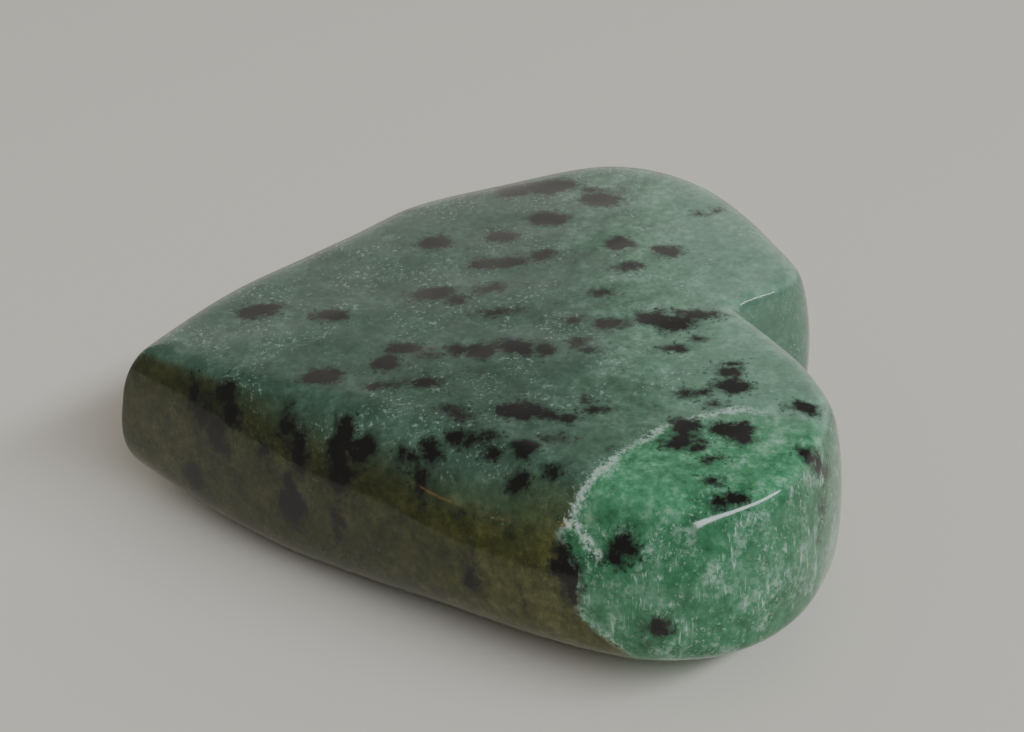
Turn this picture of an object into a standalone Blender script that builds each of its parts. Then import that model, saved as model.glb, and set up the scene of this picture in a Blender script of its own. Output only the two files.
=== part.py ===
"""A palm-sized heart cut and polished from one piece of green zoisite.

The heart lies with its broad face up, its point towards -Y and its two lobes
towards +Y, and rests on a small flat spot at the origin. Its outline, seen from
above, is drawn with six curves. Every spoke from the middle of the heart to the
outline carries one section: a nearly flat top out to a crest, a bellied wall down
to the girth and a shallow bowl underneath.
"""
import math

import bmesh
import bpy
import numpy as np
from mathutils import Matrix, Vector
from mathutils.geometry import interpolate_bezier

MM = 0.001

# Outline seen from above, in the plane of the widest girth. A reach is the length
# of a curve's handle at that place; the sides have one before them and one after.
CENTRE = Vector((0.0, -4.4, 0.0)) * MM
POINT = Vector((1.9, -30.0, 0.0)) * MM
POINT_REACH = 0.5 * MM
CLEFT = Vector((0.0, 17.0, 0.0)) * MM
CLEFT_REACH = 1.9 * MM
CLEFT_SLOPE = math.radians(25.6)
LOBE_INNER_REACH = 4.4 * MM
RIGHT_SIDE = Vector((28.7, 10.4, 0.0)) * MM
RIGHT_SIDE_REACH = (10.1 * MM, 10.1 * MM)
RIGHT_LOBE = Vector((14.4, 22.5, 0.0)) * MM
RIGHT_LOBE_REACH = 0.6 * MM
LEFT_SIDE = Vector((-30.5, 6.3, 0.0)) * MM
LEFT_SIDE_REACH = (18.7 * MM, 8.3 * MM)
LEFT_LOBE = Vector((-6.7, 22.0, 0.0)) * MM
LEFT_LOBE_REACH = 0.8 * MM

# Section from the middle outwards. A dome is the fall in metres per square metre out
# from the middle and a rise is a plain slope. The wall's belly is the exponent of its
# curve (1 is straight), and a keel or a straightness is the exponent of the underside's
# superellipse (2 is round).
GIRTH_HEIGHT = 1.7 * MM
TOP_HEIGHT = 10.75 * MM
TOP_DOME = 0.53
TOP_RISE_TO_LOBES = 0.137
WALL_BELLY = 2.77
UNDERSIDE_DEPTH = 4.2 * MM
UNDERSIDE_DOME = 2.5
UNDERSIDE_RISE_TO_LOBES = 0.045
UNDERSIDE_SHIFT = -1.2 * MM
LOBE_KEEL = 5.2
POINT_KEEL = 17.0
KEEL_STRAIGHTNESS = 2.2

# How far in from the girth the crest lies, on the lobes, along the sides and at the
# point, with the bearings over which it changes, and a fuller shoulder on top of that.
# Bearings are measured from the cleft's side.
LOBE_CREST_INSET = 2.1 * MM
SIDE_CREST_INSET = 3.9 * MM
POINT_CREST_INSET = 1.9 * MM
LOBE_CREST_TURN = (math.radians(60), math.radians(101))
POINT_CREST_TURN = (math.radians(121), math.radians(169))
SHOULDER_INSET = 3.6 * MM
SHOULDER_BEARING = math.radians(77)
SHOULDER_SPREAD = math.radians(32)

# Bearings over which the keel changes between the lobes' and the point's
POINT_KEEL_TURN = (math.radians(80), math.radians(155))
CLEFT_KEEL_TURN = (math.radians(5), math.radians(35))

# The polished corners and the way the stone lies
POLISH_ROUNDING = 0.8 * MM
POLISH_STRENGTH = 0.5
PASSES_PER_EDGE_LENGTH = 4
LEAN = math.radians(4.9)
FLAT_SPOT_DEPTH = 0.25 * MM
CUT_TOLERANCE = 0.001 * MM

# Mesh density
SPOKES_SIDE = 24
SPOKES_LOBE = 12
SPOKES = 2 * (SPOKES_SIDE + 2 * SPOKES_LOBE)
RINGS_FACE = 14
RINGS_WALL = 9
RINGS_BELOW = 18
FINE_STEPS = 401

STONE_GREEN = (0.075, 0.165, 0.085, 1.0)
STONE_ROUGHNESS = 0.25


def clear_scene():
    """Remove whatever the file opened with."""
    for item in list(bpy.data.objects):
        bpy.data.objects.remove(item, do_unlink=True)


def outline_half(side, side_reach, lobe, lobe_reach, turn):
    """Points from the heart's point up one side to the cleft; turn is 1 right, -1 left."""
    across = Vector((turn, 0.0, 0.0))
    up = Vector((0.0, 1.0, 0.0))
    cleft_way = Vector((turn * math.cos(CLEFT_SLOPE), math.sin(CLEFT_SLOPE), 0.0))
    curves = (
        (POINT, POINT + across * POINT_REACH, side - up * side_reach[0], side, SPOKES_SIDE),
        (side, side + up * side_reach[1], lobe + across * lobe_reach, lobe, SPOKES_LOBE),
        (lobe, lobe - across * LOBE_INNER_REACH, CLEFT + cleft_way * CLEFT_REACH, CLEFT, SPOKES_LOBE),
    )
    points = []
    for start, start_handle, end_handle, end, count in curves:
        points += interpolate_bezier(start, start_handle, end_handle, end, count + 1)[:-1]
    return points + [CLEFT]


def heart_outline():
    """The whole outline, anticlockwise from the point, one place for each spoke."""
    right = outline_half(RIGHT_SIDE, RIGHT_SIDE_REACH, RIGHT_LOBE, RIGHT_LOBE_REACH, 1)
    left = outline_half(LEFT_SIDE, LEFT_SIDE_REACH, LEFT_LOBE, LEFT_LOBE_REACH, -1)
    return right + left[-2:0:-1]


def underside_steps():
    """Angles that divide the underside, from its middle to the girth, into even lengths."""
    angles = np.linspace(0.0, math.pi / 2, FINE_STEPS)
    out = (RIGHT_SIDE - CENTRE).length * np.sin(angles) ** (2 / POINT_KEEL)
    up = UNDERSIDE_DEPTH * np.cos(angles).clip(0.0) ** (2 / KEEL_STRAIGHTNESS)
    travel = np.concatenate(([0.0], np.cumsum(np.hypot(np.diff(out), np.diff(up)))))
    return np.interp(np.linspace(0.0, travel[-1], RINGS_BELOW + 1), travel, angles)


def smooth_step(low, high, value):
    """0 below low, 1 above high, and an even S between them."""
    t = min(max((value - low) / (high - low), 0.0), 1.0)
    return t * t * (3 - 2 * t)


def crest_inset(bearing):
    """How far in from the girth the crest lies at that bearing."""
    side = (SIDE_CREST_INSET - LOBE_CREST_INSET) * smooth_step(*LOBE_CREST_TURN, bearing)
    point = (POINT_CREST_INSET - SIDE_CREST_INSET) * smooth_step(*POINT_CREST_TURN, bearing)
    beside = 1 - smooth_step(0.0, SHOULDER_SPREAD, abs(bearing - SHOULDER_BEARING))
    return LOBE_CREST_INSET + side + point + SHOULDER_INSET * beside


def crown_height(out):
    """Height of the top face that far out from the middle."""
    return TOP_HEIGHT - TOP_DOME * out.length_squared + TOP_RISE_TO_LOBES * out.y


def top_point(rim, ring):
    """A place on the top face or the wall, on the spoke that ends at rim."""
    spoke = rim - CENTRE
    crest = spoke * (1 - crest_inset(abs(math.atan2(spoke.x, spoke.y))) / spoke.length)
    if ring <= RINGS_FACE:
        out = crest * (ring / RINGS_FACE)
        return CENTRE + out + Vector((0.0, 0.0, crown_height(out)))
    fall = (ring - RINGS_FACE) / RINGS_WALL
    out = crest + (spoke - crest) * (1 - (1 - fall) ** WALL_BELLY)
    height = crown_height(crest) + (GIRTH_HEIGHT - crown_height(crest)) * fall
    return CENTRE + out + Vector((0.0, 0.0, height))


def underside_point(rim, angle):
    """A place on the shallow bowl below the girth, on the spoke that ends at rim."""
    spoke = rim - CENTRE
    bearing = abs(math.atan2(spoke.x, spoke.y))
    fullness = max(smooth_step(*POINT_KEEL_TURN, bearing), 1 - smooth_step(*CLEFT_KEEL_TURN, bearing))
    sharpness = LOBE_KEEL + (POINT_KEEL - LOBE_KEEL) * fullness
    out = spoke * math.sin(angle) ** (2 / sharpness)
    drop = max(math.cos(angle), 0.0) ** (2 / KEEL_STRAIGHTNESS)
    bowl = UNDERSIDE_DEPTH - UNDERSIDE_DOME * out.length_squared - UNDERSIDE_RISE_TO_LOBES * out.y
    depth = GIRTH_HEIGHT - (bowl + GIRTH_HEIGHT) * drop
    return CENTRE + out + Vector((0.0, UNDERSIDE_SHIFT * drop, depth))


def shape_heart(bm):
    """Start from a sphere and carry each of its vertices to the heart's surface."""
    rings_above = RINGS_FACE + RINGS_WALL
    rings = rings_above + RINGS_BELOW
    bmesh.ops.create_uvsphere(bm, u_segments=SPOKES, v_segments=rings, radius=1.0)
    rims = heart_outline()
    steps = underside_steps()
    for vertex in bm.verts:
        place = vertex.co
        ring = round(math.acos(max(-1.0, min(1.0, place.z))) / math.pi * rings)
        spoke = round(math.atan2(place.y, place.x) / (2 * math.pi) * SPOKES) % SPOKES
        if ring <= rings_above:
            vertex.co = top_point(rims[spoke], ring)
        else:
            vertex.co = underside_point(rims[spoke], steps[rings - ring])


def polish(bm):
    """Round the corners; the passes needed grow with the square of the rounding."""
    edge = sum(e.calc_length() for e in bm.edges) / len(bm.edges)
    passes = round(PASSES_PER_EDGE_LENGTH * (POLISH_ROUNDING / edge) ** 2)
    for _ in range(passes):
        bmesh.ops.smooth_vert(
            bm, verts=bm.verts, factor=POLISH_STRENGTH,
            use_axis_x=True, use_axis_y=True, use_axis_z=True)


def cut_flat_spot(bm):
    """Cut the flat spot level, close it, and set the heart down on it at the origin."""
    lowest = min(v.co.z for v in bm.verts)
    level = Vector((0.0, 0.0, lowest + FLAT_SPOT_DEPTH))
    cut = bmesh.ops.bisect_plane(
        bm, geom=bm.verts[:] + bm.edges[:] + bm.faces[:],
        dist=CUT_TOLERANCE, plane_co=level, plane_no=(0.0, 0.0, -1.0), clear_outer=True)
    rim = [item for item in cut["geom_cut"] if isinstance(item, bmesh.types.BMEdge)]
    for edge in rim:
        for vertex in edge.verts:
            vertex.co.z = level.z
    bmesh.ops.edgeloop_fill(bm, edges=rim)
    xs = [v.co.x for v in bm.verts]
    ys = [v.co.y for v in bm.verts]
    middle = Vector(((min(xs) + max(xs)) / 2, (min(ys) + max(ys)) / 2, level.z))
    bmesh.ops.translate(bm, verts=bm.verts, vec=-middle)


def stone_material():
    """Polished zoisite."""
    material = bpy.data.materials.new("zoisite_polished")
    material.use_nodes = True
    shader = material.node_tree.nodes["Principled BSDF"]
    shader.inputs["Base Color"].default_value = STONE_GREEN
    shader.inputs["Roughness"].default_value = STONE_ROUGHNESS
    shader.inputs["Metallic"].default_value = 0.0
    return material


def make_heart(collection):
    """The one solid of the object."""
    bm = bmesh.new()
    shape_heart(bm)
    polish(bm)
    bmesh.ops.rotate(bm, verts=bm.verts, cent=(0.0, 0.0, 0.0), matrix=Matrix.Rotation(-LEAN, 3, "X"))
    cut_flat_spot(bm)
    bmesh.ops.recalc_face_normals(bm, faces=bm.faces)
    mesh = bpy.data.meshes.new("heart")
    bm.to_mesh(mesh)
    bm.free()
    mesh.shade_smooth()
    mesh.materials.append(stone_material())
    heart = bpy.data.objects.new("heart", mesh)
    collection.objects.link(heart)
    return heart


def main():
    clear_scene()
    collection = bpy.data.collections.new("ruby_zoisite_heart")
    bpy.context.scene.collection.children.link(collection)
    make_heart(collection)


main()
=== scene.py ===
"""A palm-sized heart cut and polished from green zoisite, with dark hornblende grains.

Laid out as a Blender add-on and run as a script: main() registers the classes, models
the stone and sets up the stage. The stone's own frame has its broad face up, its point
towards -Y and its two lobes towards +Y, and it lies on a small flat spot.
"""
import math
import random
from collections import namedtuple

import bmesh
import bpy
import numpy as np
from mathutils import Matrix, Vector, noise
from mathutils.bvhtree import BVHTree
from mathutils.geometry import interpolate_bezier


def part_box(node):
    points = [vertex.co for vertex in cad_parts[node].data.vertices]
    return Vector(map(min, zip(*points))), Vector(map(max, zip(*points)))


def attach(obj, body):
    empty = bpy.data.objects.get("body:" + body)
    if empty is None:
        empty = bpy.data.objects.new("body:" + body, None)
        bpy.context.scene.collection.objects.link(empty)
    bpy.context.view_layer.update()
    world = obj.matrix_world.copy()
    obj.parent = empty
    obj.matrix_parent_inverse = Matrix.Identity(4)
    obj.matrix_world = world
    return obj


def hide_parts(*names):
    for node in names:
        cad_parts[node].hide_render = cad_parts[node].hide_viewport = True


bl_info = {
    "name": "Polished Zoisite Heart",
    "version": (1, 0, 0),
    "blender": (4, 5, 0),
    "location": "View3D > Sidebar > Stone Heart",
    "description": "Models a heart cut and polished from green zoisite, and a plain stage",
    "category": "Add Mesh",
}

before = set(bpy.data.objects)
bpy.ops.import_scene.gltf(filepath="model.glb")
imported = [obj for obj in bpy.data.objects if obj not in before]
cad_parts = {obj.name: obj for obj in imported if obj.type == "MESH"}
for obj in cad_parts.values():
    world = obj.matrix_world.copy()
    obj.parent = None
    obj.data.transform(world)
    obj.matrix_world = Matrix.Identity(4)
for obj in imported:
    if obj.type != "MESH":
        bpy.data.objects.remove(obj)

MM = 0.001

# Outline seen from above, in the plane of the widest girth. A reach is the length
# of a curve's handle at that place; the sides have one before them and one after.
CENTRE = Vector((0.0, -4.4, 0.0)) * MM
POINT = Vector((1.9, -30.0, 0.0)) * MM
POINT_REACH = 0.5 * MM
CLEFT = Vector((0.0, 17.0, 0.0)) * MM
CLEFT_REACH = 1.9 * MM
CLEFT_SLOPE = math.radians(25.6)
LOBE_INNER_REACH = 4.4 * MM
RIGHT_SIDE = Vector((28.7, 10.4, 0.0)) * MM
RIGHT_SIDE_REACH = (10.1 * MM, 10.1 * MM)
RIGHT_LOBE = Vector((14.4, 22.5, 0.0)) * MM
RIGHT_LOBE_REACH = 0.6 * MM
LEFT_SIDE = Vector((-30.5, 6.3, 0.0)) * MM
LEFT_SIDE_REACH = (18.7 * MM, 8.3 * MM)
LEFT_LOBE = Vector((-6.7, 22.0, 0.0)) * MM
LEFT_LOBE_REACH = 0.8 * MM

# Section from the middle outwards. A dome is the fall in metres per square metre out
# from the middle and a rise is a plain slope. The wall's belly is the exponent of its
# curve (1 is straight), and a keel or a straightness is the exponent of the underside's
# superellipse (2 is round).
GIRTH_HEIGHT = 1.7 * MM
TOP_HEIGHT = 10.75 * MM
TOP_DOME = 0.53
TOP_RISE_TO_LOBES = 0.137
WALL_BELLY = 2.77
UNDERSIDE_DEPTH = 4.2 * MM
UNDERSIDE_DOME = 2.5
UNDERSIDE_RISE_TO_LOBES = 0.045
UNDERSIDE_SHIFT = -1.2 * MM
LOBE_KEEL = 5.2
POINT_KEEL = 17.0
KEEL_STRAIGHTNESS = 2.2

# How far in from the girth the crest lies, on the lobes, along the sides and at the
# point, with the bearings over which it changes, and a fuller shoulder on top of that.
# Bearings are measured from the cleft's side.
LOBE_CREST_INSET = 2.1 * MM
SIDE_CREST_INSET = 3.9 * MM
POINT_CREST_INSET = 1.9 * MM
LOBE_CREST_TURN = (math.radians(60), math.radians(101))
POINT_CREST_TURN = (math.radians(121), math.radians(169))
SHOULDER_INSET = 3.6 * MM
SHOULDER_BEARING = math.radians(77)
SHOULDER_SPREAD = math.radians(32)
POINT_KEEL_TURN = (math.radians(80), math.radians(155))
CLEFT_KEEL_TURN = (math.radians(5), math.radians(35))
LEAN = math.radians(4.9)
FLAT_SPOT_DEPTH = 0.25 * MM

# Smoothing that stands for polishing
POLISH_STRENGTH = 0.5
PASSES_PER_EDGE_LENGTH = 4
CUT_TOLERANCE = 0.001 * MM

# Mesh density of the finished stone
SPOKES_SIDE = 120
SPOKES_LOBE = 58
SPOKES = 2 * (SPOKES_SIDE + 2 * SPOKES_LOBE)
RINGS_FACE = 76
RINGS_WALL = 52
RINGS_BELOW = 68
FINE_STEPS = 4001

# Camera of the reference view
CAMERA_PLACE = Vector((168.46, 6.82, 108.91)) * MM
CAMERA_AZIMUTH = math.radians(91.31)
CAMERA_ELEVATION = math.radians(30.45)
CAMERA_ROLL = math.radians(-0.77)
CAMERA_LENS = 91.4
CAMERA_SENSOR = 36.0
CAMERA_CLIP = 10 * MM
IMAGE_WIDTH = 1024
IMAGE_HEIGHT = 732

# Dark grains that the reference view shows. Each line gives the pixel of the grain's
# middle in the 1024 x 732 view, its length and width on the surface in mm, and its turn
# in degrees from level. First the broad face from the point to the lobes.
FACE_GRAINS = (
    (260, 311, 3.0, 2.2, 0),
    (330, 316, 2.6, 1.8, -15),
    (322, 377, 2.7, 2.0, 0),
    (387, 363, 2.0, 1.9, 0),
    (406, 348, 2.3, 1.3, 0),
    (373, 387, 1.3, 1.1, 20),
    (426, 381, 2.0, 1.3, 5),
    (455, 413, 1.2, 1.9, 35),
    (430, 355, 1.3, 0.7, 0),
    (457, 350, 1.5, 1.5, 0),
    (481, 352, 1.9, 2.0, 0),
    (513, 346, 2.7, 1.9, 0),
    (524, 350, 1.8, 1.5, 0),
    (545, 350, 1.3, 1.9, 0),
    (577, 343, 1.4, 1.5, 0),
    (590, 349, 1.3, 0.6, 0),
    (510, 410, 1.9, 1.9, 0),
    (527, 411, 2.3, 2.0, 0),
    (543, 413, 1.4, 1.3, 0),
    (586, 401, 0.9, 0.8, 0),
    (592, 411, 1.5, 0.6, 8),
    (566, 419, 1.3, 0.9, 0),
    (523, 447, 1.9, 2.0, 0),
    (455, 438, 1.7, 1.0, 5),
    (475, 437, 1.8, 1.3, 0),
    (490, 436, 1.0, 0.8, 0),
    (410, 455, 1.4, 0.9, 0),
    (430, 450, 1.9, 1.6, 15),
    (552, 472, 1.3, 1.0, 0),
    (523, 482, 1.6, 1.1, 10),
    (492, 456, 0.8, 0.7, 0),
    (557, 438, 0.9, 0.4, 0),
    (432, 294, 3.4, 2.0, 0),
    (455, 299, 1.5, 1.2, 0),
    (493, 287, 2.2, 1.4, 20),
    (496, 312, 2.2, 1.1, 5),
    (485, 264, 2.4, 1.6, 0),
    (510, 262, 2.4, 1.4, 5),
    (542, 256, 1.9, 1.6, 0),
    (432, 243, 2.6, 2.0, 0),
    (547, 219, 3.3, 2.4, -10),
    (502, 236, 2.4, 1.8, 0),
    (515, 190, 3.0, 2.4, 10),
    (551, 187, 4.0, 2.6, 0),
    (600, 200, 3.2, 2.4, -20),
    (619, 243, 2.2, 1.9, -5),
    (668, 251, 2.2, 1.7, -25),
    (629, 267, 2.0, 1.3, -5),
    (655, 318, 2.4, 2.2, -10),
    (672, 323, 3.0, 2.4, -10),
    (614, 323, 2.3, 1.4, 0),
    (601, 326, 0.9, 0.9, 0),
    (701, 314, 3.0, 1.1, -12),
    (674, 348, 1.6, 1.0, -8),
    (698, 339, 0.9, 0.6, 0),
    (602, 293, 1.4, 1.1, 0),
    (705, 392, 0.9, 0.5, 0),
    (729, 371, 1.9, 1.3, -5),
    (732, 386, 2.6, 1.9, -10),
    (685, 392, 1.4, 0.9, 0),
    (715, 404, 1.1, 0.6, 0),
    (683, 425, 1.9, 1.5, -20),
    (683, 441, 3.0, 1.6, 5),
    (697, 447, 1.0, 0.9, 0),
    (722, 429, 1.4, 1.4, 0),
    (738, 432, 2.4, 2.4, -10),
    (745, 439, 1.4, 1.3, 0),
    (803, 408, 2.0, 1.3, -28),
    (711, 459, 1.1, 0.8, 0),
    (711, 480, 1.0, 0.8, 0),
    (723, 503, 1.6, 1.1, 8),
    (737, 498, 1.4, 1.3, 20),
    (808, 455, 1.4, 1.3, -30),
    (818, 463, 2.0, 1.3, -40),
    (825, 472, 1.0, 1.2, -50),
)

# Then the near wall, whose grains run down it
WALL_GRAINS = (
    (193, 395, 1.2, 2.6, 0),
    (203, 416, 1.4, 2.6, -10),
    (226, 394, 1.7, 2.0, 0),
    (229, 414, 1.8, 2.4, 5),
    (216, 432, 2.0, 2.6, 0),
    (222, 448, 1.6, 1.6, 0),
    (195, 480, 1.8, 2.6, 0),
    (287, 425, 1.0, 2.6, -5),
    (298, 453, 1.5, 3.0, 0),
    (290, 487, 1.5, 2.2, 0),
    (291, 506, 2.6, 3.0, 0),
    (346, 428, 1.6, 1.4, 20),
    (361, 448, 2.4, 2.0, 20),
    (338, 455, 1.6, 3.4, 0),
    (341, 476, 1.9, 2.2, -15),
    (336, 522, 0.8, 2.4, 0),
    (419, 481, 1.0, 2.2, 0),
    (562, 562, 1.3, 2.4, -15),
    (572, 582, 1.1, 2.8, 0),
    (622, 547, 1.3, 1.9, 0),
    (632, 551, 0.9, 0.6, -20),
    (619, 558, 1.6, 0.7, 0),
    (657, 627, 1.5, 1.4, 0),
    (470, 580, 1.2, 1.4, 0),
    (822, 510, 0.8, 2.0, -10),
)

# Pale healed seam, and where the olive rock meets it down the wall, as pixels of the view
SEAM = ((764, 413), (740, 409), (715, 413), (687, 420), (662, 428), (628, 448), (599, 471),
        (586, 488), (575, 508), (568, 522))
SEAM_FOOT = ((568, 522), (560, 535), (566, 550), (573, 574), (579, 596), (578, 612), (592, 626),
             (612, 640), (630, 655))
SEAM_SPUR = ((572, 515), (585, 538), (598, 556))

# Scattered grains: big ones on the sides that the view does not show, small ones all over.
# Widths are in mm, and turns in degrees from the way the rock's grain runs. A grain is up
# to the stretch times as long as it is wide. Distances go up to the reach, in mm.
HIDDEN_GRAINS = 210
HIDDEN_WIDTHS = (0.7, 2.1)
SMALL_GRAINS = 160
SMALL_WIDTHS = (0.35, 0.7)
GRAIN_STRETCH = 1.9
GRAIN_TURN_SPREAD = 14.0
GRAIN_SEED = 11
GRAIN_REACH = 9.0
ROCK_GRAIN = Vector((0.0, 1.0, 0.15))

# Slight unevenness of a hand polish
WAVER_HEIGHT = 0.06 * MM
WAVER_LENGTH = 7.0 * MM
RIPPLE_HEIGHT = 0.03 * MM
RIPPLE_LENGTH = 3.0 * MM

# Where each light stands, as its azimuth from +X and its height in degrees, its size in
# metres, and how far off they all are. The window is long and low, and the lamp is small.
WINDOW_WAY = (44, 43)
WINDOW_SIZE = (1.65, 0.18)
WINDOW_COLOUR = "#F4F7FF"
LAMP_WAY = (-60, 30)
LAMP_SIZE = (0.012, 0.012)
LAMP_COLOUR = "#FFB45C"
LIGHT_DISTANCE = 1.2

# The floor is matt
FLOOR_ROUGHNESS = 0.9

# The room's bright wall stands behind the stone, towards -X. It is full up to the first
# height in degrees and has faded into the even room at the second. Its sides say the same
# along X, where -1 is straight behind.
BRIGHT_WALL_TOP = (20, 38)
BRIGHT_WALL_SIDES = (-0.6, 0.1)

# Tone of the rock: cells of one grain each, then noises of (size in mm, detail, share).
# Each kind of rock goes from its deep colour through its main one to its pale one at the
# stops. The fine noise is (size in mm, detail, roughness).
GRAIN_CELL = 0.38
GRAIN_CELL_SHARE = 0.06
ROCK_NOISES = ((0.8, 5.0, 0.37), (2.2, 4.0, 0.37), (9.0, 2.0, 0.20))
ROCK_NOISE_ROUGHNESS = 0.68
TONE_STOPS = (0.34, 0.51, 0.74)
FINE_NOISE = (0.45, 4.0, 0.7)

# A bound is 1 where a value is at full, 0 where it is at none and smooth between, times
# its share. Noises of (size, amount), both in mm, fray the value first.
Bound = namedtuple("Bound", "full none frays share", defaults=((), 1.0))
FRAY_DETAIL = 4.0
FRAY_ROUGHNESS = 0.62
NOISE_MIDDLE = 0.5

# Bounds along Y, from -26 mm at the point to 26 mm at the lobes. The near lobe's is along X.
PALE_LOBES = Bound(20.0, 10.0, ((4.0, 5.0),), 0.3)
DUSKY_POINT = Bound(4.0, 15.0, ((6.0, 9.0),), 0.62)
# Olive walls: partly the rock's own colour, partly painted warm bounce light and shade.
OLIVE_ALONG = Bound(11.0, 17.0, ((5.0, 6.0),), 0.92)
# Painted shade: the olive walls darken towards the point.
OLIVE_POINTWARD_SHADE = Bound(-6.0, 7.0, ((5.0, 8.0),), 0.55)
NEAR_LOBE = Bound(20.0, 13.0, ((3.0, 4.0),))

# Bounds by how steep the surface is, from 0 facing up to 1 upright or facing down, and by
# distances in mm: how far right of the seam and its foot the view shows a place, then how
# far it is from the seam, its foot and the dark grains
ON_WALL = Bound(0.55, 0.15)
IN_LOBE = Bound(0.12, -0.12, ((1.2, 1.4),))
SEAM_FRAYS = ((1.8, 1.3), (0.35, 0.9))
SEAM_BAND = Bound(0.0, 0.55)
SEAM_FLECKS = Bound(0.2, 1.0)
FOOT_BAND = Bound(-0.1, 0.45, ((1.5, 1.0), (0.4, 0.7)), 0.5)
GRAIN_FRAYS = ((1.3, 2.1), (0.45, 0.8))
GRAIN_CORES = Bound(-0.28, 0.16)
GRAIN_RIMS = Bound(0.0, 0.55, (), 0.55)
AROUND_GRAINS = Bound(0.2, 1.3, (), 0.75)

# Bounds by the fine noise, the strands of the fibres and the share of olive rock, and how
# far painted shade takes the walls and the near lobe's wall to their deep colour
CLOUDS_BROKEN = Bound(0.56, 0.40)
DARK_KEPT = Bound(0.60, 0.80)
FIBRES = Bound(0.68, 0.55)
OFF_OLIVE = Bound(0.0, 1.2)
PAINTED_WALL_SHADE = 0.5
PAINTED_LOBE_WALL_SHADE = 0.55

# Spots are a noise of that size in mm between two of its tones, times their share
Spots = namedtuple("Spots", "size detail roughness full none share", defaults=(1.0,))
PALE_CLOUDS = Spots(2.6, 5.0, 0.7, 0.64, 0.50, 0.35)
FIBRE_CLUMPS = Spots(2.2, 3.0, 0.6, 0.60, 0.44, 0.65)
PALE_DRIFTS = Spots(4.0, 4.0, 0.6, 0.60, 0.46)
PALE_GRAINS = Spots(0.32, 3.0, 0.65, 0.68, 0.55, 0.42)
SEAM_GRAINS = Spots(0.4, 4.0, 0.7, 0.56, 0.38)
# Flecks and their swarms: pale crystal with its sparkle painted in as white.
FLECK_SWARMS = Spots(1.2, 3.0, 0.6, 0.68, 0.52)
FLECKS = Spots(0.22, 2.0, 0.6, 0.74, 0.63, 0.8)
GRAIN_CRUMBS = Spots(0.5, 2.0, 0.6, 0.34, 0.40)

# Fibres run down the near lobe's wall: thickness along X and Y and length along Z, in mm
FIBRE_SIZE = (0.4, 0.24, 2.3)
FIBRE_DETAIL = 3.0
FIBRE_ROUGHNESS = 0.6
FIBRE_BEND = 0.9

# The polished skin. Zoisite's own IOR is about 1.70, and it is lower here so that the pale
# floor doesn't turn the near wall grey. The fine noise adds up to the span to the least
# roughness. Light soaks in by the depth times its reach for red, green and blue.
SKIN_IOR = 1.50
LEAST_ROUGHNESS = 0.04
ROUGHNESS_SPAN = 0.10
RELIEF_HEIGHT = 0.02 * MM
RELIEF_STRENGTH = 0.12
SOAK_SHARE = 0.15
SOAK_REACH = (0.7, 1.0, 0.75)
SOAK_DEPTH = 0.8 * MM

# What the layers of the rock share: the node tree, the place in mm with its X and Y, the
# rock's tone, the fine noise, where the walls and the near lobe lie, and the colours
Rock = namedtuple("Rock", "tree place across along tone fine on_wall in_lobe look")

# Sockets of the Mix node for colours
MIX_FACTOR, MIX_A, MIX_B, MIX_RESULT = 0, 6, 7, 2


def linear(hex_colour):
    """A linear colour from sRGB hex."""
    channels = [int(hex_colour[i:i + 2], 16) / 255 for i in (1, 3, 5)]
    return tuple(c / 12.92 if c <= 0.04045 else ((c + 0.055) / 1.055) ** 2.4 for c in channels)


def colour_setting(name, description, hex_colour):
    """A colour that a user can change."""
    return bpy.props.FloatVectorProperty(
        name=name, description=description, default=linear(hex_colour),
        subtype="COLOR", size=3, min=0.0, max=1.0)


class StoneSettings(bpy.types.PropertyGroup):
    """Sizes and colours of the stone."""

    polish_rounding: bpy.props.FloatProperty(
        name="Polish Rounding", description="How far polishing has rounded the crest",
        default=0.9 * MM, min=0.2 * MM, max=3.0 * MM, subtype="DISTANCE", unit="LENGTH")
    green_deep: colour_setting("Deep Green", "Darkest green of the ground", "#2E4C39")
    green_mid: colour_setting("Mid Green", "Main green of the ground", "#5B8469")
    green_pale: colour_setting("Pale Green", "Palest green of the ground", "#9CC6AE")
    fresh_deep: colour_setting("Deep Fresh Green", "Darkest green of the near lobe", "#225436")
    fresh_mid: colour_setting("Mid Fresh Green", "Main green of the near lobe", "#54986E")
    fresh_pale: colour_setting("Pale Fresh Green", "Palest green of the near lobe", "#B2DCC6")
    green_dusk: colour_setting("Dusk Green", "Greyer green towards the point", "#33443B")
    # Olive of the near wall: partly the rock's own colour, partly painted warm bounce light and shade.
    olive_deep: colour_setting("Deep Olive", "Darkest rock of the near wall", "#16170A")
    olive_mid: colour_setting("Mid Olive", "Main colour of the near wall", "#4A4C20")
    olive_pale: colour_setting("Pale Olive", "Palest rock of the near wall", "#7C7A48")
    grain_dark: colour_setting("Hornblende", "Dark grains", "#141313")
    grain_rim: colour_setting("Grain Rims", "Rock stained around the dark grains", "#1C241E")
    seam_pale: colour_setting("Seam", "Pale healed seam and pale grains", "#BAD2C4")
    # Flecks: pale crystal with its sparkle painted in as white.
    fleck_sparkle_white: colour_setting("Flecks", "White crystal flecks", "#E2F8F1")


class StageSettings(bpy.types.PropertyGroup):
    """Floor and lights around the stone."""

    floor_colour: colour_setting("Floor", "Plain pale floor", "#E8E3D8")
    floor_size: bpy.props.FloatProperty(
        name="Floor Size", description="Side of the floor",
        default=3.0, min=0.5, max=10.0, subtype="DISTANCE", unit="LENGTH")
    window_power: bpy.props.FloatProperty(
        name="Window Power", description="Power of the window light",
        default=13.0, min=0.0, max=200.0, unit="POWER")
    lamp_power: bpy.props.FloatProperty(
        name="Lamp Power", description="Power of the small warm lamp",
        default=0.012, min=0.0, max=20.0, unit="POWER")
    room_bright: colour_setting("Bright Wall", "Light from the wall behind the stone", "#EFEDE6")
    room_dim: colour_setting("Room", "Light from the rest of the room", "#86857F")


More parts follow.
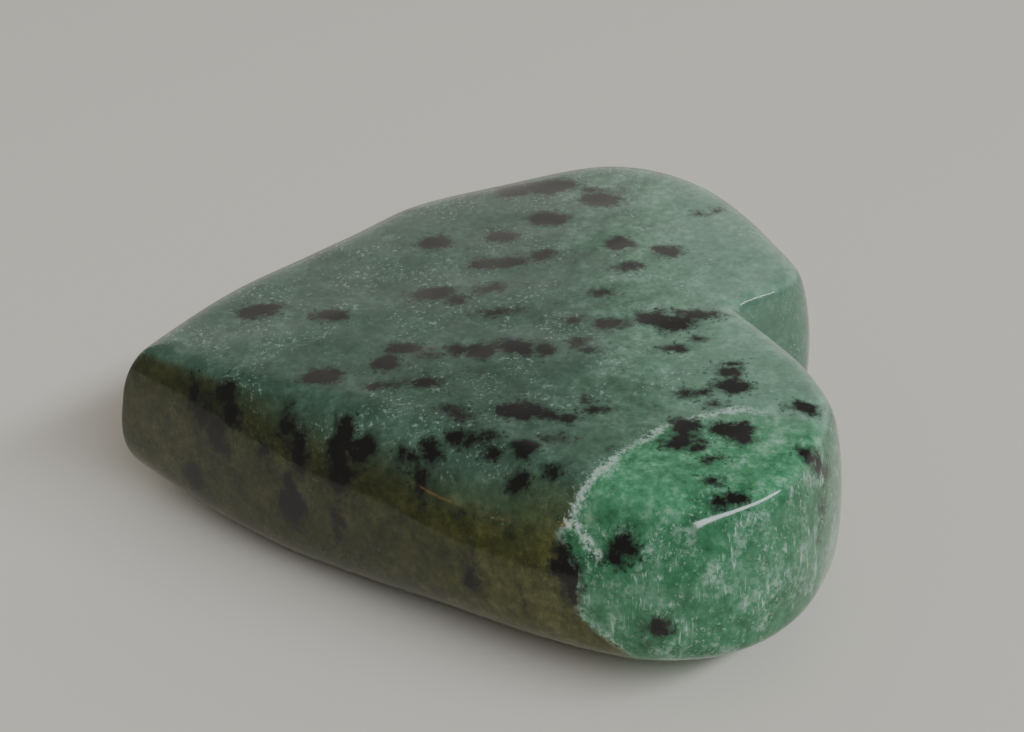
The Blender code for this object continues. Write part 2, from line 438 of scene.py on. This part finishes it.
def outline_half(side, side_reach, lobe, lobe_reach, turn):
    """Points from the heart's point up one side to the cleft; turn is 1 right, -1 left."""
    across = Vector((turn, 0.0, 0.0))
    up = Vector((0.0, 1.0, 0.0))
    cleft_way = Vector((turn * math.cos(CLEFT_SLOPE), math.sin(CLEFT_SLOPE), 0.0))
    curves = (
        (POINT, POINT + across * POINT_REACH, side - up * side_reach[0], side, SPOKES_SIDE),
        (side, side + up * side_reach[1], lobe + across * lobe_reach, lobe, SPOKES_LOBE),
        (lobe, lobe - across * LOBE_INNER_REACH, CLEFT + cleft_way * CLEFT_REACH, CLEFT, SPOKES_LOBE),
    )
    points = []
    for start, start_handle, end_handle, end, count in curves:
        points += interpolate_bezier(start, start_handle, end_handle, end, count + 1)[:-1]
    return points + [CLEFT]


def heart_outline():
    """The whole outline, anticlockwise from the point, one place for each spoke."""
    right = outline_half(RIGHT_SIDE, RIGHT_SIDE_REACH, RIGHT_LOBE, RIGHT_LOBE_REACH, 1)
    left = outline_half(LEFT_SIDE, LEFT_SIDE_REACH, LEFT_LOBE, LEFT_LOBE_REACH, -1)
    return right + left[-2:0:-1]


def underside_steps():
    """Angles that divide the underside, from its middle to the girth, into even lengths."""
    angles = np.linspace(0.0, math.pi / 2, FINE_STEPS)
    out = (RIGHT_SIDE - CENTRE).length * np.sin(angles) ** (2 / POINT_KEEL)
    up = UNDERSIDE_DEPTH * np.cos(angles).clip(0.0) ** (2 / KEEL_STRAIGHTNESS)
    travel = np.concatenate(([0.0], np.cumsum(np.hypot(np.diff(out), np.diff(up)))))
    return np.interp(np.linspace(0.0, travel[-1], RINGS_BELOW + 1), travel, angles)


def smooth_step(low, high, value):
    """0 below low, 1 above high, and an even S between them."""
    t = min(max((value - low) / (high - low), 0.0), 1.0)
    return t * t * (3 - 2 * t)


def crest_inset(bearing):
    """How far in from the girth the crest lies at that bearing."""
    side = (SIDE_CREST_INSET - LOBE_CREST_INSET) * smooth_step(*LOBE_CREST_TURN, bearing)
    point = (POINT_CREST_INSET - SIDE_CREST_INSET) * smooth_step(*POINT_CREST_TURN, bearing)
    beside = 1 - smooth_step(0.0, SHOULDER_SPREAD, abs(bearing - SHOULDER_BEARING))
    return LOBE_CREST_INSET + side + point + SHOULDER_INSET * beside


def crown_height(out):
    """Height of the top face that far out from the middle."""
    return TOP_HEIGHT - TOP_DOME * out.length_squared + TOP_RISE_TO_LOBES * out.y


def top_point(rim, ring):
    """A place on the top face or the wall, on the spoke that ends at rim."""
    spoke = rim - CENTRE
    crest = spoke * (1 - crest_inset(abs(math.atan2(spoke.x, spoke.y))) / spoke.length)
    if ring <= RINGS_FACE:
        out = crest * (ring / RINGS_FACE)
        return CENTRE + out + Vector((0.0, 0.0, crown_height(out)))
    fall = (ring - RINGS_FACE) / RINGS_WALL
    out = crest + (spoke - crest) * (1 - (1 - fall) ** WALL_BELLY)
    height = crown_height(crest) + (GIRTH_HEIGHT - crown_height(crest)) * fall
    return CENTRE + out + Vector((0.0, 0.0, height))


def underside_point(rim, angle):
    """A place on the shallow bowl below the girth, on the spoke that ends at rim."""
    spoke = rim - CENTRE
    bearing = abs(math.atan2(spoke.x, spoke.y))
    fullness = max(smooth_step(*POINT_KEEL_TURN, bearing), 1 - smooth_step(*CLEFT_KEEL_TURN, bearing))
    sharpness = LOBE_KEEL + (POINT_KEEL - LOBE_KEEL) * fullness
    out = spoke * math.sin(angle) ** (2 / sharpness)
    drop = max(math.cos(angle), 0.0) ** (2 / KEEL_STRAIGHTNESS)
    bowl = UNDERSIDE_DEPTH - UNDERSIDE_DOME * out.length_squared - UNDERSIDE_RISE_TO_LOBES * out.y
    depth = GIRTH_HEIGHT - (bowl + GIRTH_HEIGHT) * drop
    return CENTRE + out + Vector((0.0, UNDERSIDE_SHIFT * drop, depth))


def shape_heart(bm):
    """Start from a sphere and carry each of its vertices to the heart's surface."""
    rings_above = RINGS_FACE + RINGS_WALL
    rings = rings_above + RINGS_BELOW
    bmesh.ops.create_uvsphere(bm, u_segments=SPOKES, v_segments=rings, radius=1.0)
    rims = heart_outline()
    steps = underside_steps()
    for vertex in bm.verts:
        place = vertex.co
        ring = round(math.acos(max(-1.0, min(1.0, place.z))) / math.pi * rings)
        spoke = round(math.atan2(place.y, place.x) / (2 * math.pi) * SPOKES) % SPOKES
        if ring <= rings_above:
            vertex.co = top_point(rims[spoke], ring)
        else:
            vertex.co = underside_point(rims[spoke], steps[rings - ring])


def polish(bm, rounding):
    """Round the corners; the passes needed grow with the square of the rounding."""
    edge = sum(e.calc_length() for e in bm.edges) / len(bm.edges)
    for _ in range(round(PASSES_PER_EDGE_LENGTH * (rounding / edge) ** 2)):
        bmesh.ops.smooth_vert(
            bm, verts=bm.verts, factor=POLISH_STRENGTH,
            use_axis_x=True, use_axis_y=True, use_axis_z=True)


def waver(bm):
    """The slight waver that polishing by hand leaves, too low to see but in reflections."""
    bm.normal_update()
    for vertex in bm.verts:
        swell = noise.noise(vertex.co / WAVER_LENGTH) * WAVER_HEIGHT
        ripple = noise.noise(vertex.co / RIPPLE_LENGTH) * RIPPLE_HEIGHT
        vertex.co += vertex.normal * (swell + ripple)


def cut_flat_spot(bm):
    """Cut the flat spot level and close it."""
    lowest = min(v.co.z for v in bm.verts)
    level = Vector((0.0, 0.0, lowest + FLAT_SPOT_DEPTH))
    cut = bmesh.ops.bisect_plane(
        bm, geom=bm.verts[:] + bm.edges[:] + bm.faces[:],
        dist=CUT_TOLERANCE, plane_co=level, plane_no=(0.0, 0.0, -1.0), clear_outer=True)
    rim = [item for item in cut["geom_cut"] if isinstance(item, bmesh.types.BMEdge)]
    for edge in rim:
        for vertex in edge.verts:
            vertex.co.z = level.z
    bmesh.ops.edgeloop_fill(bm, edges=rim)


def settle(bm):
    """Set the stone down where the CAD heart lies."""
    low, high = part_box("heart")
    xs = [v.co.x for v in bm.verts]
    ys = [v.co.y for v in bm.verts]
    bottom = min(v.co.z for v in bm.verts)
    here = Vector(((min(xs) + max(xs)) / 2, (min(ys) + max(ys)) / 2, bottom))
    there = Vector(((low.x + high.x) / 2, (low.y + high.y) / 2, low.z))
    bmesh.ops.translate(bm, verts=bm.verts, vec=there - here)


def camera_axes():
    """The camera's right, up and backward directions."""
    swing = Vector((math.sin(CAMERA_AZIMUTH), -math.cos(CAMERA_AZIMUTH), 0.0))
    back = swing * math.cos(CAMERA_ELEVATION) + Vector((0.0, 0.0, math.sin(CAMERA_ELEVATION)))
    across = Vector((math.cos(CAMERA_AZIMUTH), math.sin(CAMERA_AZIMUTH), 0.0))
    roll = Matrix.Rotation(CAMERA_ROLL, 3, back)
    return roll @ across, roll @ back.cross(across), back


def seen_at(tree, pixel):
    """The place on the stone that the reference view shows at that pixel, and its normal."""
    across, up, back = camera_axes()
    focal = CAMERA_LENS / CAMERA_SENSOR * IMAGE_WIDTH
    x = (pixel[0] - IMAGE_WIDTH / 2) / focal
    y = (IMAGE_HEIGHT / 2 - pixel[1]) / focal
    place, normal, _, _ = tree.ray_cast(CAMERA_PLACE, across * x + up * y - back)
    if place is None:
        raise RuntimeError(f"pixel {pixel} does not fall on the stone")
    return place, normal


def grain_shape(place, normal, level, length, width, turn):
    """A dark grain as its middle and the matrix that makes it a unit ball."""
    along = (level - normal * level.dot(normal)).normalized()
    along = Matrix.Rotation(turn, 3, normal) @ along
    beside = normal.cross(along)
    depth = (length + width) / 2
    axes = Matrix((along / length, beside / width, normal / depth)) * (2 / MM)
    return place, axes, min(length, width) / 2


def shown_grains(tree):
    """The grains that the reference view shows."""
    across, _, _ = camera_axes()
    grains = []
    for u, v, length, width, turn in FACE_GRAINS + WALL_GRAINS:
        place, normal = seen_at(tree, (u, v))
        grains.append(grain_shape(place, normal, across, length, width, math.radians(turn)))
    return grains


def scattered_grains(draw, vertices, count, widths):
    """Grains of those widths scattered evenly over the faces around the vertices."""
    areas = [sum(face.calc_area() for face in vertex.link_faces) for vertex in vertices]
    grains = []
    for vertex in draw.choices(vertices, areas, k=count):
        width = draw.uniform(*widths)
        length = width * draw.uniform(1.0, GRAIN_STRETCH)
        turn = math.radians(draw.gauss(0.0, GRAIN_TURN_SPREAD))
        grains.append(grain_shape(vertex.co.copy(), vertex.normal.copy(), ROCK_GRAIN, length, width, turn))
    return grains


def grain_distance(places, grains):
    """Distance in mm from each place to the edge of the nearest grain, less than 0 inside."""
    nearest = np.full(len(places), GRAIN_REACH)
    for middle, axes, radius in grains:
        offsets = (places - np.array(middle)) @ np.array(axes).T
        nearest = np.minimum(nearest, (np.linalg.norm(offsets, axis=1) - 1.0) * radius)
    return nearest


def line_distance(places, points):
    """Distance in mm from each place to a line of points."""
    nearest = np.full(len(places), np.inf)
    for start, end in zip(points, points[1:]):
        run = np.array(end - start)
        offsets = places - np.array(start)
        share = np.clip(offsets @ run / (run @ run), 0.0, 1.0)
        nearest = np.minimum(nearest, np.linalg.norm(offsets - share[:, None] * run, axis=1))
    return nearest / MM


def line_side(places, points):
    """Distance in mm from a line of points, less than 0 where the view shows a place left of it."""
    across, up, back = camera_axes()
    eye = np.array(CAMERA_PLACE)

    def view(items):
        rays = items - eye
        depth = -(rays @ np.array(back))
        return np.stack((rays @ np.array(across) / depth, rays @ np.array(up) / depth), axis=1)

    spots = view(places)
    line = view(np.array([list(p) for p in points]))
    best = np.full(len(places), np.inf)
    side = np.zeros(len(places))
    for start, end in zip(line, line[1:]):
        run = end - start
        offsets = spots - start
        share = np.clip(offsets @ run / (run @ run), 0.0, 1.0)
        gap = np.linalg.norm(offsets - share[:, None] * run, axis=1)
        cross = offsets[:, 0] * run[1] - offsets[:, 1] * run[0]
        nearer = gap < best
        best = np.where(nearer, gap, best)
        side = np.where(nearer, -np.sign(cross), side)
    return side * line_distance(places, points)


def write_attribute(mesh, name, values):
    """Store one number for each vertex, for the material to read."""
    attribute = mesh.attributes.new(name, "FLOAT", "POINT")
    attribute.data.foreach_set("value", values.astype(np.float32))


def mark_stone(mesh, bm):
    """Write where the grains, the seam and its foot, the near lobe and the walls lie."""
    tree = BVHTree.FromBMesh(bm)
    places = np.array([list(v.co) for v in bm.verts])
    draw = random.Random(GRAIN_SEED)
    unseen = [v for v in bm.verts if v.normal.dot(CAMERA_PLACE - v.co) < 0.0]
    grains = shown_grains(tree)
    grains += scattered_grains(draw, unseen, HIDDEN_GRAINS, HIDDEN_WIDTHS)
    grains += scattered_grains(draw, bm.verts[:], SMALL_GRAINS, SMALL_WIDTHS)
    write_attribute(mesh, "grain", grain_distance(places, grains))
    seam = [seen_at(tree, pixel)[0] for pixel in SEAM]
    foot = [seen_at(tree, pixel)[0] for pixel in SEAM_FOOT]
    spur = [seen_at(tree, pixel)[0] for pixel in SEAM_SPUR]
    write_attribute(mesh, "seam", np.minimum(line_distance(places, seam), line_distance(places, spur)))
    write_attribute(mesh, "foot", line_distance(places, foot))
    write_attribute(mesh, "lobe", line_side(places, seam + foot[1:]))
    write_attribute(mesh, "wall", 1.0 - np.array([max(v.normal.z, 0.0) for v in bm.verts]))


def make_stone(settings):
    """The stone as one mesh in place of the CAD heart."""
    bm = bmesh.new()
    shape_heart(bm)
    polish(bm, settings.polish_rounding)
    waver(bm)
    bmesh.ops.rotate(bm, verts=bm.verts, cent=(0.0, 0.0, 0.0), matrix=Matrix.Rotation(-LEAN, 3, "X"))
    cut_flat_spot(bm)
    settle(bm)
    bmesh.ops.recalc_face_normals(bm, faces=bm.faces)
    bm.normal_update()
    mesh = bpy.data.meshes.new("zoisite_heart")
    bm.to_mesh(mesh)
    mark_stone(mesh, bm)
    bm.free()
    mesh.shade_smooth()
    mesh.materials.append(zoisite_polished(settings))
    stone = bpy.data.objects.new("zoisite_heart", mesh)
    bpy.context.scene.collection.objects.link(stone)
    return stone


def add(tree, kind, links, **settings):
    """Add a node with its settings; links gives a socket or a value for each input."""
    node = tree.nodes.new("ShaderNode" + kind)
    for name, value in settings.items():
        setattr(node, name, value)
    for name, value in links.items():
        if isinstance(value, bpy.types.NodeSocket):
            tree.links.new(value, node.inputs[name])
        else:
            node.inputs[name].default_value = value
    return node


def look_colour(colour):
    """A colour setting as a socket value."""
    return (*colour, 1.0)


def overlap(tree, *shares):
    """Where all the shares lie together."""
    together = shares[0]
    for share in shares[1:]:
        together = add(tree, "Math", {0: together, 1: share}, operation="MULTIPLY").outputs[0]
    return together


def lay(tree, under, over, *shares):
    """Lay one colour over another where all the shares lie together."""
    links = {MIX_FACTOR: overlap(tree, *shares), MIX_A: under, MIX_B: over}
    return add(tree, "Mix", links, data_type="RGBA").outputs[MIX_RESULT]


def fray(tree, place, value, frays):
    """Shift a value to and fro by noises of (size, amount), both in mm."""
    for size, amount in frays:
        links = {"Vector": place, "Scale": 1 / size, "Detail": FRAY_DETAIL, "Roughness": FRAY_ROUGHNESS}
        tone = add(tree, "TexNoise", links).outputs[0]
        shift = add(tree, "Math", {0: tone, 1: NOISE_MIDDLE}, operation="SUBTRACT").outputs[0]
        value = add(tree, "Math", {0: shift, 1: amount, 2: value}, operation="MULTIPLY_ADD").outputs[0]
    return value


def bounded(tree, place, value, bound):
    """The share that a bound gives from a value; the place is read only for its frays."""
    frayed = fray(tree, place, value, bound.frays)
    links = {"Value": frayed, "From Min": bound.none, "From Max": bound.full}
    soft = add(tree, "MapRange", links, interpolation_type="SMOOTHSTEP").outputs[0]
    return overlap(tree, soft, bound.share)


def spotted(tree, place, spots):
    """The share that spots give each place."""
    links = {"Vector": place, "Scale": 1 / spots.size, "Detail": spots.detail, "Roughness": spots.roughness}
    tone = add(tree, "TexNoise", links).outputs[0]
    return bounded(tree, place, tone, Bound(spots.full, spots.none, (), spots.share))


def rock_tone(tree, place):
    """Tone of the rock: its grains, then the noises that fray, mottle and shade it."""
    cells = add(tree, "TexVoronoi", {"Vector": place, "Scale": 1 / GRAIN_CELL, "Randomness": 1.0})
    grain_tone = add(tree, "SeparateColor", {"Color": cells.outputs["Color"]}).outputs[0]
    level = overlap(tree, grain_tone, GRAIN_CELL_SHARE)
    for size, detail, share in ROCK_NOISES:
        links = {"Vector": place, "Scale": 1 / size, "Detail": detail, "Roughness": ROCK_NOISE_ROUGHNESS}
        tone = add(tree, "TexNoise", links).outputs[0]
        level = add(tree, "Math", {0: tone, 1: share, 2: level}, operation="MULTIPLY_ADD").outputs[0]
    return level


def rock_colour(rock, *colours):
    """Colour of one kind of the rock, from its deep, main and pale colours."""
    node = add(rock.tree, "ValToRGB", {"Fac": rock.tone})
    stops = node.color_ramp.elements
    stops.new(TONE_STOPS[1])
    for stop, tone, colour in zip(stops, TONE_STOPS, colours):
        stop.position = tone
        stop.color = look_colour(colour)
    return node.outputs["Color"]


def ground(rock):
    """Green rock, paler towards the lobes and greyer towards the point, with painted shade darkening its
    walls.
    """
    tree, place, look = rock.tree, rock.place, rock.look
    colour = rock_colour(rock, look.green_deep, look.green_mid, look.green_pale)
    paler = bounded(tree, place, rock.along, PALE_LOBES)
    colour = lay(tree, colour, look_colour(look.green_pale), paler)
    greyer = bounded(tree, place, rock.along, DUSKY_POINT)
    colour = lay(tree, colour, look_colour(look.green_dusk), greyer)
    # Painted shade: the walls go part of the way to the deep green.
    return lay(tree, colour, look_colour(look.green_deep), rock.on_wall, PAINTED_WALL_SHADE)


def olive_wall(rock, colour):
    """Olive on the walls outside the near lobe, partly the rock's own colour and partly painted warm bounce
    light and shade, and the share of it at each place.
    """
    tree, place, look = rock.tree, rock.place, rock.look
    out_of_lobe = add(tree, "Math", {0: 1.0, 1: rock.in_lobe}, operation="SUBTRACT").outputs[0]
    olive = overlap(tree, rock.on_wall, out_of_lobe, bounded(tree, place, rock.along, OLIVE_ALONG))
    olive_rock = rock_colour(rock, look.olive_deep, look.olive_mid, look.olive_pale)
    # Painted shade darkens the olive towards the point.
    shaded_pointwards = bounded(tree, place, rock.along, OLIVE_POINTWARD_SHADE)
    olive_rock = lay(tree, olive_rock, look_colour(look.olive_deep), shaded_pointwards)
    return lay(tree, colour, olive_rock, olive), olive


def near_lobe(rock, colour):
    """A purer green on the near lobe, darkened on its wall as painted shade, with pale clouds and short
    fibres down its wall.
    """
    tree, place, look = rock.tree, rock.place, rock.look
    pale = look_colour(look.seam_pale)
    lobe = overlap(tree, rock.in_lobe, bounded(tree, place, rock.across, NEAR_LOBE))
    fresh_rock = rock_colour(rock, look.fresh_deep, look.fresh_mid, look.fresh_pale)
    colour = lay(tree, colour, fresh_rock, lobe)
    lobe_wall = overlap(tree, lobe, rock.on_wall)
    # Painted shade: the near lobe's wall goes part of the way to its deep green.
    colour = lay(tree, colour, look_colour(look.fresh_deep), lobe_wall, PAINTED_LOBE_WALL_SHADE)
    broken = bounded(tree, place, rock.fine, CLOUDS_BROKEN)
    colour = lay(tree, colour, pale, lobe_wall, spotted(tree, place, PALE_CLOUDS), broken)
    stretch = tuple(1 / size for size in FIBRE_SIZE)
    stretched = add(tree, "VectorMath", {0: place, 1: stretch}, operation="MULTIPLY").outputs[0]
    links = {"Vector": stretched, "Scale": 1.0, "Detail": FIBRE_DETAIL,
             "Roughness": FIBRE_ROUGHNESS, "Distortion": FIBRE_BEND}
    strands = add(tree, "TexNoise", links).outputs[0]
    fibres = bounded(tree, place, strands, FIBRES)
    return lay(tree, colour, pale, lobe_wall, fibres, spotted(tree, place, FIBRE_CLUMPS))


def pale_grains(rock, colour, olive):
    """Pale grains of 0.3 mm in drifts off the olive rock, and where the drifts lie."""
    tree, place = rock.tree, rock.place
    drifts = overlap(tree, spotted(tree, place, PALE_DRIFTS), bounded(tree, place, olive, OFF_OLIVE))
    grains = spotted(tree, place, PALE_GRAINS)
    return lay(tree, colour, look_colour(rock.look.seam_pale), grains, drifts), drifts


def healed_seam(rock, colour, seam, foot):
    """The healed seam, ragged and made of grains, and its fainter foot down the wall."""
    tree, place = rock.tree, rock.place
    pale = look_colour(rock.look.seam_pale)
    grains = spotted(tree, place, SEAM_GRAINS)
    colour = lay(tree, colour, pale, bounded(tree, place, seam, SEAM_BAND), grains)
    return lay(tree, colour, pale, bounded(tree, place, foot, FOOT_BAND), grains)


def painted_sparkle_flecks(rock, colour, drifts, seam):
    """White flecks where crystal faces lie at the surface, pale crystal with its sparkle painted in as
    colour, in little swarms and on the seam.
    """
    tree, place = rock.tree, rock.place
    swarms = overlap(tree, spotted(tree, place, FLECK_SWARMS), drifts)
    on_seam = bounded(tree, place, seam, SEAM_FLECKS)
    both = add(tree, "Math", {0: swarms, 1: on_seam}, operation="MAXIMUM").outputs[0]
    return lay(tree, colour, look_colour(rock.look.fleck_sparkle_white), spotted(tree, place, FLECKS), both)


def hornblende(rock, colour, distance):
    """Dark grains with a stained rim, green left inside them and crumbs around them."""
    tree, place, look = rock.tree, rock.place, rock.look
    edge = fray(tree, place, distance, GRAIN_FRAYS)
    colour = lay(tree, colour, look_colour(look.grain_rim), bounded(tree, place, edge, GRAIN_RIMS))
    around = bounded(tree, place, distance, AROUND_GRAINS)
    crumbs = overlap(tree, spotted(tree, place, GRAIN_CRUMBS), around)
    cores = bounded(tree, place, edge, GRAIN_CORES)
    dark = add(tree, "Math", {0: crumbs, 1: cores}, operation="MAXIMUM").outputs[0]
    kept = bounded(tree, place, rock.fine, DARK_KEPT)
    return lay(tree, colour, look_colour(look.grain_dark), dark, kept)


def polished_skin(rock, shader):
    """A glassy skin with a faint relief, and a little light soaking in under it."""
    tree = rock.tree
    links = {"Height": rock.fine, "Distance": RELIEF_HEIGHT, "Strength": RELIEF_STRENGTH}
    relief = add(tree, "Bump", links).outputs[0]
    tree.links.new(relief, shader.inputs["Normal"])
    links = {0: rock.fine, 1: ROUGHNESS_SPAN, 2: LEAST_ROUGHNESS}
    gloss = add(tree, "Math", links, operation="MULTIPLY_ADD").outputs[0]
    tree.links.new(gloss, shader.inputs["Roughness"])
    shader.inputs["IOR"].default_value = SKIN_IOR
    shader.inputs["Subsurface Weight"].default_value = SOAK_SHARE
    shader.inputs["Subsurface Radius"].default_value = SOAK_REACH
    shader.inputs["Subsurface Scale"].default_value = SOAK_DEPTH


def zoisite_polished(look):
    """Zoisite rock, cut, tumbled and polished.

    To the eye: a granular green with a glassy skin, a little light soaking in at the edges,
    black hornblende grains, and white flecks where crystal faces lie at the surface, with
    their sparkle painted in as colour.
    """
    material = bpy.data.materials.new("zoisite_polished")
    material.use_nodes = True
    tree = material.node_tree
    shader = tree.nodes["Principled BSDF"]
    where = add(tree, "TexCoord", {}).outputs["Object"]
    place = add(tree, "VectorMath", {0: where, "Scale": 1 / MM}, operation="SCALE").outputs[0]
    across, along, _ = add(tree, "SeparateXYZ", {0: place}).outputs
    fields = {name: add(tree, "Attribute", {}, attribute_name=name).outputs["Fac"]
              for name in ("grain", "seam", "foot", "lobe", "wall")}
    size, detail, roughness = FINE_NOISE
    links = {"Vector": place, "Scale": 1 / size, "Detail": detail, "Roughness": roughness}
    fine = add(tree, "TexNoise", links).outputs[0]
    on_wall = bounded(tree, place, fields["wall"], ON_WALL)
    in_lobe = bounded(tree, place, fields["lobe"], IN_LOBE)
    seam = fray(tree, place, fields["seam"], SEAM_FRAYS)
    rock = Rock(tree, place, across, along, rock_tone(tree, place), fine, on_wall, in_lobe, look)

    colour, olive = olive_wall(rock, ground(rock))
    colour = near_lobe(rock, colour)
    colour, drifts = pale_grains(rock, colour, olive)
    colour = healed_seam(rock, colour, seam, fields["foot"])
    colour = painted_sparkle_flecks(rock, colour, drifts, seam)
    colour = hornblende(rock, colour, fields["grain"])
    tree.links.new(colour, shader.inputs["Base Color"])
    polished_skin(rock, shader)
    return material


def make_floor(settings):
    """A plain pale floor."""
    bm = bmesh.new()
    bmesh.ops.create_grid(bm, x_segments=1, y_segments=1, size=settings.floor_size / 2)
    mesh = bpy.data.meshes.new("floor")
    bm.to_mesh(mesh)
    bm.free()
    material = bpy.data.materials.new("matt_painted_board")
    material.use_nodes = True
    shader = material.node_tree.nodes["Principled BSDF"]
    shader.inputs["Base Color"].default_value = look_colour(settings.floor_colour)
    shader.inputs["Roughness"].default_value = FLOOR_ROUGHNESS
    mesh.materials.append(material)
    floor = bpy.data.objects.new("floor", mesh)
    bpy.context.scene.collection.objects.link(floor)


def direction(azimuth, height):
    """The direction at that azimuth from +X and height above the floor, both in degrees."""
    turn, rise = math.radians(azimuth), math.radians(height)
    return Vector((math.cos(turn) * math.cos(rise), math.sin(turn) * math.cos(rise), math.sin(rise)))


def add_light(name, way, size, power, colour):
    """A rectangular light that shines on the stone from that direction, long side level."""
    data = bpy.data.lights.new(name, "AREA")
    data.shape = "RECTANGLE"
    data.size, data.size_y = size
    data.energy = power
    data.color = linear(colour)
    light = bpy.data.objects.new(name, data)
    bpy.context.scene.collection.objects.link(light)
    light.location = direction(*way) * LIGHT_DISTANCE
    light.rotation_euler = direction(*way).to_track_quat("Z", "Y").to_euler()


def make_camera():
    """The camera of the reference view."""
    data = bpy.data.cameras.new("camera")
    data.lens = CAMERA_LENS
    data.sensor_width = CAMERA_SENSOR
    data.clip_start = CAMERA_CLIP
    camera = bpy.data.objects.new("camera", data)
    bpy.context.scene.collection.objects.link(camera)
    across, up, back = camera_axes()
    turn = Matrix((across, up, back)).transposed().to_4x4()
    camera.matrix_world = Matrix.Translation(CAMERA_PLACE) @ turn
    bpy.context.scene.camera = camera


def make_room_light(settings):
    """The even light of a room with a bright wall behind the stone."""
    world = bpy.data.worlds.new("room")
    world.use_nodes = True
    tree = world.node_tree
    way = add(tree, "SeparateXYZ", {0: add(tree, "TexCoord", {}).outputs["Generated"]})
    low, high = (math.sin(math.radians(height)) for height in BRIGHT_WALL_TOP)
    beneath = bounded(tree, None, way.outputs[2], Bound(low, high))
    behind = bounded(tree, None, way.outputs[0], Bound(*BRIGHT_WALL_SIDES))
    dim, bright = look_colour(settings.room_dim), look_colour(settings.room_bright)
    colour = lay(tree, dim, bright, beneath, behind)
    tree.links.new(colour, tree.nodes["Background"].inputs["Color"])
    bpy.context.scene.world = world


class STONE_OT_heart(bpy.types.Operator):
    """Model the polished stone heart"""

    bl_idname = "stone.heart"
    bl_label = "Make Stone Heart"

    def execute(self, context):
        stone = make_stone(context.scene.stone_settings)
        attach(stone, "root")
        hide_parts("heart")
        return {"FINISHED"}


class STONE_OT_stage(bpy.types.Operator):
    """Set up the floor, the lights and the camera"""

    bl_idname = "stone.stage"
    bl_label = "Make Stage"

    def execute(self, context):
        settings = context.scene.stage_settings
        make_floor(settings)
        make_room_light(settings)
        add_light("window", WINDOW_WAY, WINDOW_SIZE, settings.window_power, WINDOW_COLOUR)
        add_light("lamp", LAMP_WAY, LAMP_SIZE, settings.lamp_power, LAMP_COLOUR)
        make_camera()
        return {"FINISHED"}


class STONE_PT_panel(bpy.types.Panel):
    """Sidebar panel for the stone heart"""

    bl_label = "Stone Heart"
    bl_idname = "STONE_PT_panel"
    bl_space_type = "VIEW_3D"
    bl_region_type = "UI"
    bl_category = "Stone Heart"

    def draw(self, context):
        for settings, operator in ((context.scene.stone_settings, STONE_OT_heart),
                                   (context.scene.stage_settings, STONE_OT_stage)):
            for name in settings.__annotations__:
                self.layout.prop(settings, name)
            self.layout.operator(operator.bl_idname)


CLASSES = (StoneSettings, StageSettings, STONE_OT_heart, STONE_OT_stage, STONE_PT_panel)


def register():
    for item in CLASSES:
        bpy.utils.register_class(item)
    bpy.types.Scene.stone_settings = bpy.props.PointerProperty(type=StoneSettings)
    bpy.types.Scene.stage_settings = bpy.props.PointerProperty(type=StageSettings)


def unregister():
    del bpy.types.Scene.stage_settings
    del bpy.types.Scene.stone_settings
    for item in reversed(CLASSES):
        bpy.utils.unregister_class(item)


def main():
    register()
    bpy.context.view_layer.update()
    bpy.ops.stone.heart()
    bpy.ops.stone.stage()


if __name__ == "__main__":
    main()
